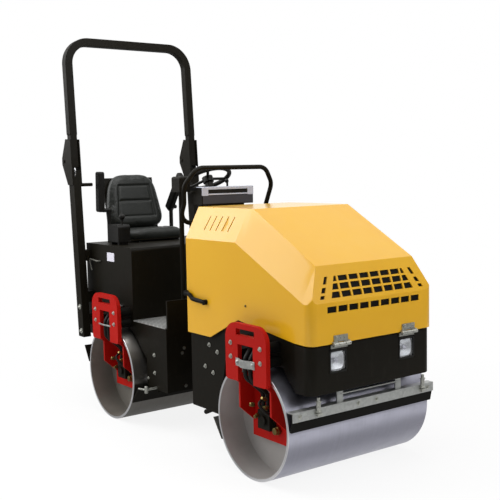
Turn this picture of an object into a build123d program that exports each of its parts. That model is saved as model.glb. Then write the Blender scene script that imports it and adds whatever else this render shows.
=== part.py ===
"""Ride-on tandem vibratory road roller of about one tonne, drawn in millimetres.

The machine is drawn about its steering pin: +X forward, +Y to its left, +Z up, ground at zero.
Every piece is then written out moved along X so that the whole stands centred on its origin.
"""

import os
from math import atan2, cos, degrees, hypot, radians, sin, tan

from build123d import *

# Whole machine
drum_diameter = 560.0
drum_width = 915.0
wheelbase = 1416.0
body_half_width = 400.0
frame_half = 382.0
hood_height = 1290.0
roll_bar_height = 2330.0
to_centre = 85.0

# Clearances
running_gap = 6.0
spindle_gap = 0.05
pin_gap = 0.3
cushion_gap = 0.4

# Drums
drum_radius = drum_diameter / 2
drum_half = drum_width / 2
shell_thickness = 14.0
disc_face = 314.0
disc_thickness = 12.0
hub_radius = 62.0
spindle_radius = 30.0
front_axle = wheelbase / 2
rear_axle = -wheelbase / 2

# Forks
fork_inner = drum_half + running_gap
fork_outer = fork_inner + 24.5
fork_half_length = 160.0
fork_top = 758.0
fork_foot = 477.0
fork_window_half = 60.0
fork_bolt_x = 116.0
fork_bolt_rows = (657.0, 590.0)
bracket_half_length = 128.0
bracket_outer = 436.0
bracket_wall = 12.0
motor_plate_outer = 350.0
motor_plate_inner = 335.0
motor_plate_foot = 175.0
motor_face = 386.0
motor_half = 46.0
fitting_y = 371.0

# Frames
frame_plate = 10.0
front_frame_back = 80.0
front_frame_end = front_axle + 288.0
rear_frame_front = -178.0
frame_foot = 230.0
rear_frame_foot = 238.0
frame_top = 684.0
floor_height = 612.0
drum_arch_radius = drum_radius + 18.0
joint_half_height = 95.0
joint_height = 420.0
steer_pin_radius = 24.0
shaft_radius = 45.0
bearing_radius = 80.0
bearing_span = (62.0, 140.0)
eye_x = 45.0
eye_y = -130.0
eye_z = 340.0
barrel_x = -350.0
barrel_y = -155.0
barrel_length = 255.0
barrel_radius = 27.0
barrel_pin_radius = 12.0
piston_rod_radius = 14.0

# Hood
hood_back = 77.0
roof_half_width = 313.0
hood_shoulder = 1128.0
shoulder_kink = 522.0
roof_kink = 562.0
ridge_x = front_axle + 310.0
ridge_height = 1043.0
brow_height = 880.0
hood_front = front_axle + 370.0
hood_corner_radius = 46.0
hood_sheet = 5.0
hood_hem = frame_top + running_gap
hinge_x = front_axle + 380.0
hinge_z = 687.0
hinge_y = 220.0
hinge_pin_radius = 4.0
hinge_barrel_radius = 9.0
nose_front = front_axle + 358.0
nose_foot = 462.0
lamp_y = 223.0
lamp_z = 606.0
lens_half_width = 46.0
lens_half_height = 44.0
lamp_half = 54.0
bar_face = front_axle + 316.0
bar_top = 392.0
bar_foot_z = 347.0
lug_places = (-165.0, 220.0)

# Seat box, seat and console
box_front = -548.0
box_back = rear_axle - 422.0
box_top = 1036.0
seat_front = -868.0
seat_half_width = 218.0
cushion_top = 1122.0
seat_back_x = -1188.0
seat_back_z = 1098.0
recline = 11.0
console_front = -93.0
console_back = -225.0
console_half_width = 177.0
console_height = 1388.0
wheel_x = -297.0
wheel_z = 1434.0
wheel_radius = 145.0
wheel_tilt = 27.0
column_shaft_radius = 10.0

# Folding roll bar, leaning back
lean = 3.7
post_y = 441.0
post_half_width = 25.0
post_foot = 447.0
post_foot_x = rear_axle - 368.0
post_depth = 70.0
bar_depth = 50.0
hinge_low = 1405.0
post_top = 1500.0
bar_foot = 1512.0
bar_hinge_x = rear_axle - 507.0
bar_hinge_z = 1555.0
bar_pin_radius = 9.0
cheek_thickness = 8.0

parts = {}


def keep(part, name):
    part.label = name
    parts[name] = part


def block(x, y, z, mode=Mode.ADD):
    """A box between pairs of limits."""
    middle = [(low + high) / 2 for low, high in (x, y, z)]
    with Locations(tuple(middle)):
        Box(x[1] - x[0], y[1] - y[0], z[1] - z[0], mode=mode)


def across(points, y, mode=Mode.ADD):
    """A side view outline of (x, z) points carried across from y[0] to y[1]."""
    with BuildSketch(Plane(origin=(0, y[1], 0), x_dir=(1, 0, 0), z_dir=(0, -1, 0))) as outline:
        Polygon(*points, align=None)
    extrude(outline.sketch, amount=y[1] - y[0], mode=mode)


def along(points, x, mode=Mode.ADD):
    """A front view outline of (y, z) points carried along from x[0] to x[1]."""
    with BuildSketch(Plane(origin=(x[0], 0, 0), x_dir=(0, 1, 0), z_dir=(1, 0, 0))) as outline:
        Polygon(*points, align=None)
    extrude(outline.sketch, amount=x[1] - x[0], mode=mode)


def rod_y(x, z, radius, y, mode=Mode.ADD):
    """A cylinder lying across the machine from y[0] to y[1]."""
    with Locations(Location((x, (y[0] + y[1]) / 2, z), (90, 0, 0))):
        Cylinder(radius, y[1] - y[0], mode=mode)


def rod_x(y, z, radius, x, mode=Mode.ADD):
    """A cylinder lying along the machine from x[0] to x[1]."""
    with Locations(Location(((x[0] + x[1]) / 2, y, z), (0, 90, 0))):
        Cylinder(radius, x[1] - x[0], mode=mode)


def rod_z(x, y, radius, z, mode=Mode.ADD):
    """An upright cylinder from z[0] to z[1]."""
    with Locations((x, y, (z[0] + z[1]) / 2)):
        Cylinder(radius, z[1] - z[0], mode=mode)


def tube(points, radius, bend):
    """A round bar swept along straight runs joined by arcs."""
    with BuildLine() as path:
        bent_path(points, bend)
    with BuildSketch(Plane(origin=path.line @ 0, z_dir=path.line % 0)) as section:
        Circle(radius)
    sweep(section.sketch, path=path.line)


def drum(axle):
    """Open-ended drum: shell, two set-in discs and their hubs."""
    with BuildPart() as made:
        rod_y(axle, drum_radius, drum_radius, (-drum_half, drum_half))
        chamfer(made.edges().filter_by(GeomType.CIRCLE), 2.0)
        inside = drum_radius - shell_thickness
        rod_y(axle, drum_radius, inside, (-drum_half, drum_half), Mode.SUBTRACT)
        for side in (-1, 1):
            near, far = side * (disc_face - disc_thickness), side * disc_face
            rod_y(axle, drum_radius, inside + 1, sorted((near, far)))
            hub_end = side * (motor_plate_inner - running_gap)
            rod_y(axle, drum_radius, hub_radius, sorted((near, hub_end)))
            rod_y(axle, drum_radius, spindle_radius, sorted((near * 0.9, hub_end)), Mode.SUBTRACT)
    return made.part


def fork(axle, side):
    """Hanging side fork: outer plate, box bracket through the drum mouth and spindle."""
    left, right = axle - fork_half_length, axle + fork_half_length
    outer = sorted((side * fork_inner, side * fork_outer))
    with BuildPart() as made:
        block((left, right), outer, (fork_foot, fork_top))
        upper = made.edges().filter_by(Axis.Y).group_by(Axis.Z)[-1]
        fillet(upper, 78.0)
        lower = made.edges().filter_by(Axis.Y).group_by(Axis.Z)[0]
        fillet(lower, 16.0)
        window = (axle - fork_window_half, axle + fork_window_half)
        block(window, outer, (fork_foot, 657.0), Mode.SUBTRACT)
        slot = (axle - fork_window_half - 12, axle + fork_window_half + 12)
        block(slot, outer, (702.0, 732.0), Mode.SUBTRACT)
        profile = [
            (motor_plate_inner, motor_plate_foot),
            (motor_plate_outer, motor_plate_foot),
            (motor_plate_outer, 253.0),
            (bracket_outer, 330.0),
            (bracket_outer, 450.0),
            (fork_inner + 2, fork_foot),
            (fork_inner + 2, 498.0),
            (motor_plate_inner, 498.0),
        ]
        wall = [(side * y, z) for y, z in profile]
        for edge in (-1, 1):
            face = axle + edge * bracket_half_length
            along(wall, sorted((face, face - edge * bracket_wall)))
        plate = sorted((side * motor_plate_inner, side * motor_plate_outer))
        block((axle - 130, axle + 130), plate, (motor_plate_foot, 498.0))
        block((axle - 62, axle + 62), plate, (350.0, 470.0), Mode.SUBTRACT)
        tip = sorted((side * motor_plate_outer, side * (disc_face - disc_thickness - 4)))
        rod_y(axle, drum_radius, spindle_radius - spindle_gap, tip)
    return made.part


def forks(axle):
    """Both forks of a drum."""
    with BuildPart() as made:
        for side in (-1, 1):
            add(fork(axle, side))
    return made.part


def fork_buffers(axle):
    """Rubber buffers between each fork's outer plate and the frame's side."""
    with BuildPart() as made:
        for side in (-1, 1):
            for height in fork_bolt_rows:
                for step in (-1, 1):
                    span = sorted((side * frame_half, side * fork_inner))
                    rod_y(axle + step * fork_bolt_x, height, 26.0, span)
    return made.part


def motors(axle):
    """Hydraulic motor on the outer face of each fork's inner plate."""
    with BuildPart() as made:
        for side in (-1, 1):
            flange = sorted((side * motor_plate_outer, side * (motor_plate_outer + 14)))
            block((axle - 56, axle + 56), flange, (drum_radius - 52, drum_radius + 52))
            body = sorted((side * (motor_plate_outer + 10), side * motor_face))
            height = (drum_radius - motor_half, drum_radius + motor_half)
            block((axle - motor_half, axle + motor_half), body, height)
            cover = sorted((side * (motor_face - 4), side * (motor_face + 12)))
            rod_y(axle, drum_radius, 24.0, cover)
            for step in (-1, 1):
                fitting = (drum_radius + motor_half - 5, drum_radius + 70)
                rod_z(axle + step * 20, side * fitting_y, 13.0, fitting)
    return made.part


def hoses(axle):
    """Two hoses a side, from the frame's side down through the fork to its motor."""
    with BuildPart() as made:
        for side in (-1, 1):
            for step in (-1, 1):
                x = axle + step * 20
                route = [
                    (x, side * 428.0, 672.0),
                    (x, side * 428.0, 655.0),
                    (x, side * 474.0, 590.0),
                    (x, side * 474.0, 500.0),
                    (x, side * fitting_y, 412.0),
                    (x, side * fitting_y, drum_radius + 70),
                ]
                tube(route, 10.5, 45.0)
    return made.part


def hose_brackets(axle):
    """Block on the frame's side that each pair of hoses hangs from, and a strap over them."""
    with BuildPart() as made:
        for side in (-1, 1):
            holder = sorted((side * frame_half, side * 443.0))
            block((axle - 40, axle + 40), holder, (672.0, 683.0))
            strap = sorted((side * fork_outer, side * (fork_outer + 3)))
            block((axle - 84, axle + 84), strap, (572.0, 596.0))
    return made.part


def scraper(axle, face, tip_z, root, arm):
    """Full-width blade whose edge stands just clear of the drum, with its two arms."""
    reach = ((drum_radius + running_gap) ** 2 - (tip_z - drum_radius) ** 2) ** 0.5
    tip, thick = axle + face * reach, face * 6
    foot = axle + root[0]
    with BuildPart() as made:
        blade = [(tip, tip_z), (foot, root[1]), (foot + thick, root[1]), (tip + thick, tip_z)]
        across(blade, (-drum_half, drum_half))
        inside = frame_half - frame_plate
        for side in (-1, 1):
            across([(axle + run, z) for run, z in arm], sorted((side * (inside - 30), side * inside)))
    return made.part


def bent_path(points, radius):
    """Straight runs between points, each inner corner eased by an arc of the radius."""
    here = Vector(*points[0])
    for before, corner, after in zip(points, points[1:], points[2:]):
        turn = Vector(*corner)
        back = (Vector(*before) - turn).normalized()
        on = (Vector(*after) - turn).normalized()
        half = back.get_angle(on) / 2
        inward = (back + on).normalized()
        run = radius / tan(radians(half))
        start, end = turn + back * run, turn + on * run
        middle = turn + inward * (radius / sin(radians(half)) - radius)
        Line(here, start)
        ThreePointArc(start, middle, end)
        here = end
    Line(here, Vector(*points[-1]))


def front_frame():
    """Front chassis: cheeks round the drum, tray over it, cross plates and the swivel's bearing."""
    cheek = [
        (front_frame_back, frame_foot),
        (front_axle - 386, frame_foot),
        (front_axle - 378, 244.0),
        (front_axle - 303, 560.0),
        (front_axle + 152, 560.0),
        (front_axle + 222, nose_foot),
        (front_frame_end, nose_foot),
        (front_frame_end, frame_top),
        (front_frame_end - 36, frame_top),
        (front_frame_end - 36, 755.0),
        (front_axle - 268, 755.0),
        (front_axle - 308, frame_top),
        (front_frame_back, frame_top),
    ]
    inner = (-frame_half + frame_plate, frame_half - frame_plate)
    with BuildPart() as made:
        for side in (-1, 1):
            span = sorted((side * frame_half, side * (frame_half - frame_plate)))
            across(cheek, span)
        block((front_frame_back, front_frame_end), inner, (600, 612))
        block((front_frame_end - 10, front_frame_end), inner, (nose_foot, frame_top))
        block((front_frame_back, front_frame_back + 12), inner, (frame_foot, 600))
        rod_y(front_axle, drum_radius, drum_arch_radius, (-500, 500), Mode.SUBTRACT)
        rod_x(0, joint_height, bearing_radius, bearing_span)
        rod_x(0, joint_height, shaft_radius, (0, 200), Mode.SUBTRACT)
    return made.part


def nose():
    """Black front bumper wrapped round the frame's end, with a pocket for each headlamp."""
    skin = frame_half + 13
    with BuildPart() as made:
        block((front_frame_end - 36, nose_front), (-skin, skin), (nose_foot, frame_top))
        fillet(made.edges().filter_by(Axis.Z).group_by(Axis.X)[-1], 42.0)
        within = (nose_foot - 5, frame_top + 5)
        block((front_frame_end - 46, front_frame_end), (-frame_half, frame_half), within, Mode.SUBTRACT)
        block((front_frame_end - 6, nose_front - 10), (-332, 332), within, Mode.SUBTRACT)
        height = (lamp_z - lamp_half, lamp_z + lamp_half)
        for side in (-1, 1):
            span = (side * lamp_y - lamp_half, side * lamp_y + lamp_half)
            block((nose_front - 20, nose_front), span, height, Mode.SUBTRACT)
    return made.part


def lamp_bodies():
    """Black lamp housings let into the nose."""
    with BuildPart() as made:
        for side in (-1, 1):
            span = (side * lamp_y - lamp_half, side * lamp_y + lamp_half)
            block((nose_front - 44, nose_front + 1), span, (lamp_z - lamp_half, lamp_z + lamp_half))
        fillet(made.edges().filter_by(Axis.X), 12.0)
        height = (lamp_z - lens_half_height, lamp_z + lens_half_height)
        for side in (-1, 1):
            span = (side * lamp_y - lens_half_width, side * lamp_y + lens_half_width)
            block((nose_front - 30, nose_front + 1), span, height, Mode.SUBTRACT)
    return made.part


def lamp_lenses():
    """Clear lens of each headlamp."""
    with BuildPart() as made:
        for side in (-1, 1):
            span = (side * lamp_y - lens_half_width, side * lamp_y + lens_half_width)
            height = (lamp_z - lens_half_height, lamp_z + lens_half_height)
            block((nose_front - 14, nose_front - 2), span, height)
        fillet(made.edges().filter_by(Axis.X), 14.0)
        fillet(made.faces().filter_by(Axis.X).group_by(Axis.X)[-1].edges(), 4.0)
    return made.part


def hood_form(inset):
    """Solid shape of the hood, drawn in by the sheet's thickness for its inside."""
    roof, wide = roof_half_width - inset * 0.8, body_half_width - inset
    top, shoulder = hood_height - inset, hood_shoulder - inset * 0.4
    face = hood_front - inset
    drop = inset * 1.2
    stations = (
        (hood_back + inset, wide, shoulder, roof, top),
        (shoulder_kink - inset * 0.2, wide, shoulder, roof, top),
        (roof_kink - inset * 0.2, wide, shoulder - 19.0, roof, top),
        (ridge_x - inset * 0.7, wide, 887.0 - drop, roof, ridge_height - drop),
        (face, wide, 860.0 - drop, body_half_width - 11 - inset, brow_height - drop),
    )
    foot = 600.0
    with BuildPart() as made:
        for first, second in zip(stations, stations[1:]):
            with BuildPart():
                for x, half, z_side, half_top, z_top in (first, second):
                    with BuildSketch(Plane(origin=(x, 0, 0), x_dir=(0, 1, 0), z_dir=(1, 0, 0))):
                        Polygon((-half, foot), (half, foot), (half, z_side), (half_top, z_top),
                                (-half_top, z_top), (-half, z_side), align=None)
                loft(ruled=True)
        with BuildSketch(Plane.XY.offset(foot)) as plan:
            with Locations((face, 0)):
                Rectangle(1200, 2 * wide, align=(Align.MAX, Align.CENTER))
            fillet(plan.vertices().group_by(Axis.X)[-1], hood_corner_radius - inset)
        extrude(amount=900, mode=Mode.INTERSECT)
    return made.part


def hood():
    """Tilting engine hood with its grille, louvres and stepped lower edge."""
    with BuildPart() as made:
        add(hood_form(0))
        add(hood_form(hood_sheet), mode=Mode.SUBTRACT)
        below = [
            (hood_back - 10, 590),
            (hood_front + 10, 590),
            (hood_front + 10, hood_hem),
            (front_axle + 256, hood_hem + 4),
            (front_axle - 175, 747),
            (front_axle - 420, 628),
            (hood_back - 10, 628),
        ]
        across(below, (-body_half_width - 10, body_half_width + 10), Mode.SUBTRACT)
        inside = body_half_width - hood_sheet
        block((hood_back - 1, hood_back + 10), (-inside, inside), (590, hood_hem), Mode.SUBTRACT)
        grille_cuts()
        louvre_cuts()
    return made.part


def grille_cuts():
    """Three rows of cells within slanted sides, a slot column each side and a lower row."""
    ahead = Plane(origin=(front_axle + 292, 0, 0), x_dir=(0, 1, 0), z_dir=(1, 0, 0))
    pitch, bar, foot_z = 67.6, 11.0, 897.0
    with BuildSketch(ahead) as holes:
        for low, high in ((969.0, 993.0), (933.0, 960.0), (897.0, 924.0)):
            edge_low, edge_high = 265 - (low - foot_z) * 0.46, 265 - (high - foot_z) * 0.46
            for cell in range(-4, 4):
                left, right = cell * pitch + bar / 2, (cell + 1) * pitch - bar / 2
                foot = (max(left, -edge_low), min(right, edge_low))
                head = (max(left, -edge_high), min(right, edge_high))
                Polygon((foot[0], low), (foot[1], low), (head[1], high), (head[0], high), align=None)
        for low, high in ((960.0, 993.0), (923.0, 946.0), (897.0, 912.0)):
            inner = [307 - (z - foot_z) * 0.51 for z in (low, high)]
            outer = [334 - (z - foot_z) * 0.59 for z in (low, high)]
            for side in (-1, 1):
                Polygon((side * inner[0], low), (side * outer[0], low),
                        (side * outer[1], high), (side * inner[1], high), align=None)
        with Locations((0, 847.0)):
            with GridLocations(67.2, 1, 9, 1):
                Rectangle(56.2, 29.0)
    extrude(holes.sketch, amount=80, mode=Mode.SUBTRACT)


def louvre_cuts():
    """Five slanted slots through each bevelled flank behind the kink."""
    for side in (-1, 1):
        fall = Vector(0, side * (body_half_width - roof_half_width), hood_shoulder - hood_height)
        flank = Plane(
            origin=(0, side * roof_half_width, hood_height),
            x_dir=(1, 0, 0),
            z_dir=Vector(1, 0, 0).cross(fall.normalized()),
        )
        with BuildSketch(flank) as slots:
            for slot in range(5):
                x = 212 + slot * 52.5
                Polygon((x + 11, 48), (x + 18, 48), (x + 7, 130), (x, 130), align=None)
        extrude(slots.sketch, amount=20, both=True, mode=Mode.SUBTRACT)


def hinge_plates(leaf, half, web, knuckles, mode_bore):
    """One half of both hood hinges: leaf, web and knuckles, the pin with one half only."""
    with BuildPart() as made:
        for side in (-1, 1):
            middle = side * hinge_y
            block(leaf[0], (middle - half, middle + half), leaf[1])
            for low, high in knuckles:
                block((leaf[0][0], hinge_x), (middle + low, middle + high), web)
                rod_y(hinge_x, hinge_z, hinge_barrel_radius, (middle + low, middle + high))
            if mode_bore:
                rod_y(hinge_x, hinge_z, hinge_pin_radius + pin_gap,
                      (middle - 60, middle + 60), Mode.SUBTRACT)
            else:
                rod_y(hinge_x, hinge_z, hinge_pin_radius, (middle - 56, middle + 56))
    return made.part


def hood_latches():
    """Black rubber strap latch low on each side of the hood's back."""
    route = ((84.0, 838.0), (118.0, 832.0), (146.0, 812.0), (258.0, 806.0))
    with BuildPart() as made:
        for side in (-1, 1):
            points = [(x, side * (body_half_width + 11.5), z) for x, z in route]
            tube(points, 11.0, 30.0)
            for x, z in (route[0], route[-1]):
                rod_y(x, z, 14.0, sorted((side * body_half_width, side * (body_half_width + 20))))
    return made.part


def front_line(z, inset):
    """X of the hood's front at a height, drawn in by an inset as in hood_form."""
    ridge = (ridge_x - inset * 0.7, ridge_height - inset * 1.2)
    brow = (hood_front - inset, brow_height - inset * 1.2)
    rise = max(z - brow[1], 0) / (ridge[1] - brow[1])
    return brow[0] - rise * (brow[0] - ridge[0])


def grille_screen():
    """Dark mesh lying against the inside of the grille."""
    brow = brow_height - hood_sheet * 1.2
    with BuildPart() as made:
        for heights, half in (((822.0, brow), 340), ((brow, 930.0), 340), ((930.0, 1008.0), 300)):
            front = [(front_line(z, hood_sheet), z) for z in heights]
            back = [(x - 5, z) for x, z in reversed(front)]
            across(front + back, (-half, half))
    return made.part


def engine():
    """Engine and its pump as one plain block on the tray."""
    with BuildPart() as made:
        block((420, 860), (-190, 190), (612, 1040))
    return made.part


def front_scraper():
    """Galvanised angle bar ahead of the front drum on two bent lugs, with a rod between them."""
    inside, under = bar_face - 6, bar_top - 6
    angle = [
        (inside, bar_foot_z),
        (bar_face, bar_foot_z),
        (bar_face, bar_top),
        (bar_face - 40, bar_top),
        (bar_face - 40, under),
        (inside, under),
    ]
    lug = [
        (bar_face - 20, under),
        (bar_face - 12, under),
        (bar_face - 12, 444),
        (bar_face - 28, nose_foot),
        (bar_face - 36, nose_foot),
        (bar_face - 36, nose_foot - 5),
        (bar_face - 20, 440),
    ]
    with BuildPart() as made:
        across(angle, (-460, 460))
        for place in lug_places:
            across(lug, (place - 19, place + 19))
        rod_y(bar_face - 16, 431, 5.0, lug_places)
    return made.part


def front_scraper_blade():
    """Rubber blade behind the angle bar."""
    tip = front_axle + ((drum_radius + running_gap + 2) ** 2 - 16.0 ** 2) ** 0.5
    inside = bar_face - 6
    with BuildPart() as made:
        across([(inside - 10, bar_top - 6), (inside, bar_top - 6), (inside, bar_foot_z),
                (tip + 12, 297), (tip, 297), (inside - 10, bar_foot_z)], (-drum_half, drum_half))
    return made.part


def rear_frame():
    """Rear chassis: side plates round the drum, front plate, deck, back plate and bearing."""
    side_plate = [
        (rear_frame_front, rear_frame_foot),
        (rear_frame_front, floor_height - 10),
        (box_back, floor_height - 10),
        (box_back, post_foot + 10),
        (rear_axle - 382, post_foot + 10),
        (rear_axle - 292, 470),
        (rear_axle - 192, 540),
        (rear_axle + 148, 540),
        (rear_axle + 306, 400),
        (rear_axle + 306, rear_frame_foot),
    ]
    inner = (-frame_half + frame_plate, frame_half - frame_plate)
    with BuildPart() as made:
        for side in (-1, 1):
            span = sorted((side * frame_half, side * (frame_half - frame_plate)))
            across(side_plate, span)
        block((rear_frame_front - 12, rear_frame_front), inner, (rear_frame_foot, 760))
        block((box_back, rear_frame_front - 12), inner, (floor_height - 20, floor_height - 10))
        block((box_back, box_back + 10), inner, (post_foot + 10, floor_height - 20))
        rod_y(rear_axle, drum_radius, drum_arch_radius, (-500, 500), Mode.SUBTRACT)
        low = joint_height - joint_half_height
        high = joint_height + joint_half_height
        for bottom, top in ((low, low + 20), (high - 20, high)):
            block((rear_frame_front, 0), (-40, 40), (bottom, top))
            rod_z(0, 0, 40.0, (bottom, top))
        rod_z(0, 0, steer_pin_radius, (low - 12, high + 12))
        block((-200, -150), (-194, -96), (eye_z - 42, eye_z + 42), Mode.SUBTRACT)
        for bottom, top in ((eye_z - 42, eye_z - 28), (eye_z + 28, eye_z + 42)):
            block((barrel_x - 26, barrel_x + 20), (barrel_y - 26, barrel_y + 26), (bottom, top))
        block((barrel_x - 40, barrel_x - 26), (barrel_y - 26, barrel_y + 26),
              (eye_z - 42, floor_height - 20))
        rod_z(barrel_x, barrel_y, barrel_pin_radius, (eye_z - 46, eye_z + 46))
    return made.part


def floor_plate():
    """Chequered footplate of the operator's well."""
    with BuildPart() as made:
        thick = (floor_height - 10, floor_height - 4)
        block((box_front, rear_frame_front - 12), (-frame_half, frame_half), thick)
    return made.part


def seat_box():
    """Hollow housing under the seat, its top front edge rolled over."""
    with BuildPart() as made:
        block((box_back, box_front), (-frame_half, frame_half), (floor_height - 10, box_top))
        fillet(made.edges().filter_by(Axis.Y).sort_by(lambda e: e.center().X + e.center().Z)[-1], 24.0)
        sheet = 6.0
        block((box_back + sheet, box_front - sheet), (-frame_half + sheet, frame_half - sheet),
              (floor_height - 20, box_top - sheet), Mode.SUBTRACT)
    return made.part


def leaning(z):
    """X of the roll bar's centre line at a height."""
    return post_foot_x - (z - post_foot) * tan(radians(lean))


def roll_bar_posts():
    """Lower posts outside the seat box, each with spacers and two cheeks for the hinge."""
    with BuildPart() as made:
        for side in (-1, 1):
            span = sorted((side * (post_y - post_half_width), side * (post_y + post_half_width)))
            low, high = leaning(post_foot), leaning(post_top)
            half = post_depth / 2
            across([(low - half, post_foot), (low + half, post_foot),
                    (high + half, post_top), (high - half, post_top)], span)
            pad = sorted((side * frame_half, side * (post_y - post_half_width)))
            for z in (560, 700, 960):
                middle = leaning(z)
                block((max(middle - 44, box_back), middle + 44), pad, (z - 34, z + 34))
            cheek = [
                (leaning(hinge_low) + 34, hinge_low),
                (leaning(1690) + 34, 1690),
                (leaning(1690) - 34, 1694),
                (bar_hinge_x - 30, bar_hinge_z + 20),
                (bar_hinge_x - 30, bar_hinge_z - 20),
                (leaning(hinge_low) - 34, hinge_low),
            ]
            for face in (post_y - post_half_width - cheek_thickness, post_y + post_half_width):
                across(cheek, sorted((side * face, side * (face + cheek_thickness))))
            pin = sorted((side * (post_y - 40), side * (post_y + 40)))
            rod_y(bar_hinge_x, bar_hinge_z, bar_pin_radius, pin)
        rod_y(leaning(1405), 1405, 11.0, (-post_y + post_half_width - 4, -324))
    return made.part


def roll_bar():
    """Folding hoop of square tube with a hinge ear behind each foot."""
    half, depth = post_half_width - 3, bar_depth / 2
    tilt = Location((leaning(bar_foot), 0, bar_foot), (0, -lean, 0))
    rise = (roll_bar_height - bar_foot) / cos(radians(lean))
    outer = post_y + post_half_width
    with BuildPart() as made:
        with BuildSketch(Plane.YZ.offset(-depth)):
            Rectangle(2 * outer, rise, align=(Align.CENTER, Align.MIN))
        extrude(amount=bar_depth)
        fillet(made.edges().filter_by(Axis.X).group_by(Axis.Z)[-1], 168.0)
        with BuildSketch(Plane.YZ.offset(-depth)) as hollow:
            Rectangle(2 * (outer - 50), rise - 50, align=(Align.CENTER, Align.MIN))
            fillet(hollow.vertices().group_by(Axis.Y)[-1], 118.0)
        extrude(amount=bar_depth, mode=Mode.SUBTRACT)
    with BuildPart() as placed:
        add(made.part.moved(tilt))
        for side in (-1, 1):
            span = sorted((side * (post_y - half), side * (post_y + half)))
            keep_out = sorted((side * (post_y + half), side * (outer + 20)))
            block((-1400, -1000), keep_out, (bar_foot - 20, 1720), Mode.SUBTRACT)
            keep_in = sorted((side * (post_y - half), side * (post_y - half - 30)))
            block((-1400, -1000), keep_in, (bar_foot - 20, 1720), Mode.SUBTRACT)
            rod_y(bar_hinge_x, bar_hinge_z, 22.0, span)
            block((bar_hinge_x, leaning(bar_hinge_z)), span, (bar_hinge_z - 22, bar_hinge_z + 22))
            rod_y(bar_hinge_x, bar_hinge_z, bar_pin_radius + pin_gap, span, Mode.SUBTRACT)
    return placed.part


def knuckle():
    """Centre joint: upright bore on the steering pin, swivel shaft forward, steering arm."""
    reach = joint_half_height - 26
    with BuildPart() as made:
        rod_z(0, 0, 38.0, (joint_height - reach, joint_height + reach))
        block((0, 50), (-34, 34), (joint_height - 60, joint_height + 60))
        rod_x(0, joint_height, 68.0, (40, bearing_span[0] - running_gap))
        rod_x(0, joint_height, shaft_radius - spindle_gap, (40, bearing_span[1] + 26))
        rod_x(0, joint_height, 62.0, (bearing_span[1] + running_gap, bearing_span[1] + 26))
        arm = (eye_z + 20, eye_z + 36)
        with BuildSketch(Plane.XY.offset(arm[0])) as outline:
            Polygon((-12, -20), (44, -20), (eye_x + 19, eye_y), (eye_x - 19, eye_y), align=None)
        extrude(outline.sketch, amount=arm[1] - arm[0])
        rod_z(eye_x, eye_y, 19.0, arm)
        rod_z(0, 0, steer_pin_radius + spindle_gap, (300, 540), Mode.SUBTRACT)
    return made.part


def steering_barrel():
    """Cylinder barrel, pinned to the rear frame."""
    with BuildPart() as made:
        with Locations(Location((barrel_x, barrel_y, eye_z), (0, 0, cylinder_angle()))):
            Cylinder(24.0, 52.0)
            with Locations(Location(((20 + barrel_length) / 2, 0, 0), (0, 90, 0))):
                Cylinder(barrel_radius, barrel_length - 20)
            with Locations(Location(((50 + barrel_length) / 2, 0, 0), (0, 90, 0))):
                Cylinder(piston_rod_radius + pin_gap, barrel_length - 30, mode=Mode.SUBTRACT)
            Cylinder(barrel_pin_radius + pin_gap, 120.0, mode=Mode.SUBTRACT)
    return made.part


def cylinder_angle():
    """Direction of the steering cylinder seen from above, in degrees."""
    return degrees(atan2(eye_y - barrel_y, eye_x - barrel_x))


def cylinder_reach():
    """Distance between the steering cylinder's two eyes."""
    return hypot(eye_y - barrel_y, eye_x - barrel_x)


def steering_rod():
    """Piston rod and its eye."""
    reach = cylinder_reach()
    with BuildPart() as made:
        with Locations(Location((barrel_x, barrel_y, eye_z), (0, 0, cylinder_angle()))):
            with Locations(Location((reach - 125, 0, 0), (0, 90, 0))):
                Cylinder(piston_rod_radius, 250)
            with Locations((reach, 0, 0)):
                Cylinder(19.0, 32.0)
    return made.part


def reclined(depth, rise):
    """Point (x, z) of the seat back, by depth ahead of its rear face and height up along it."""
    tilt = radians(recline)
    return (
        seat_back_x + depth * cos(tilt) - rise * sin(tilt),
        seat_back_z + depth * sin(tilt) + rise * cos(tilt),
    )


def seat_frame():
    """Seat slides, pan and the shell behind the backrest."""
    pan = (box_top + 12, box_top + 20)
    with BuildPart() as made:
        for side in (-1, 1):
            block((-1120, -900), (side * 150 - 20, side * 150 + 20), (box_top, pan[0]))
        block((-1146, seat_front - 12), (-196, 196), pan)
        shell = [
            (-1142, pan[0]),
            (-1142, pan[1]),
            reclined(-cushion_gap, -24),
            reclined(-cushion_gap, 350),
            reclined(-cushion_gap - 12, 350),
            reclined(-cushion_gap - 12, -30),
            (-1168, pan[0]),
        ]
        across(shell, (-186, 186))
    return made.part


def seat_cushion():
    """Seat pad."""
    foot = box_top + 20 + cushion_gap
    with BuildPart() as made:
        block((seat_front - 244, seat_front), (-seat_half_width, seat_half_width), (foot, cushion_top))
        fillet(made.edges(), 22.0)
    return made.part


def seat_backrest():
    """Back pad, leaning back, narrower at its top."""
    height, foot, head, depth = 371.0, 222.0, 168.0, 72.0
    with BuildPart() as made:
        with BuildSketch(Plane.YZ) as outline:
            Polygon((-foot, 0), (foot, 0), (head, height), (-head, height), align=None)
            fillet(outline.vertices().group_by(Axis.Y)[-1], 62.0)
            fillet(outline.vertices().group_by(Axis.Y)[0], 24.0)
        extrude(amount=depth)
        fillet(made.faces().filter_by(Axis.X).edges(), 20.0)
    with BuildPart() as placed:
        add(made.part.moved(Location((seat_back_x, 0, seat_back_z), (0, -recline, 0))))
    return placed.part


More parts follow.
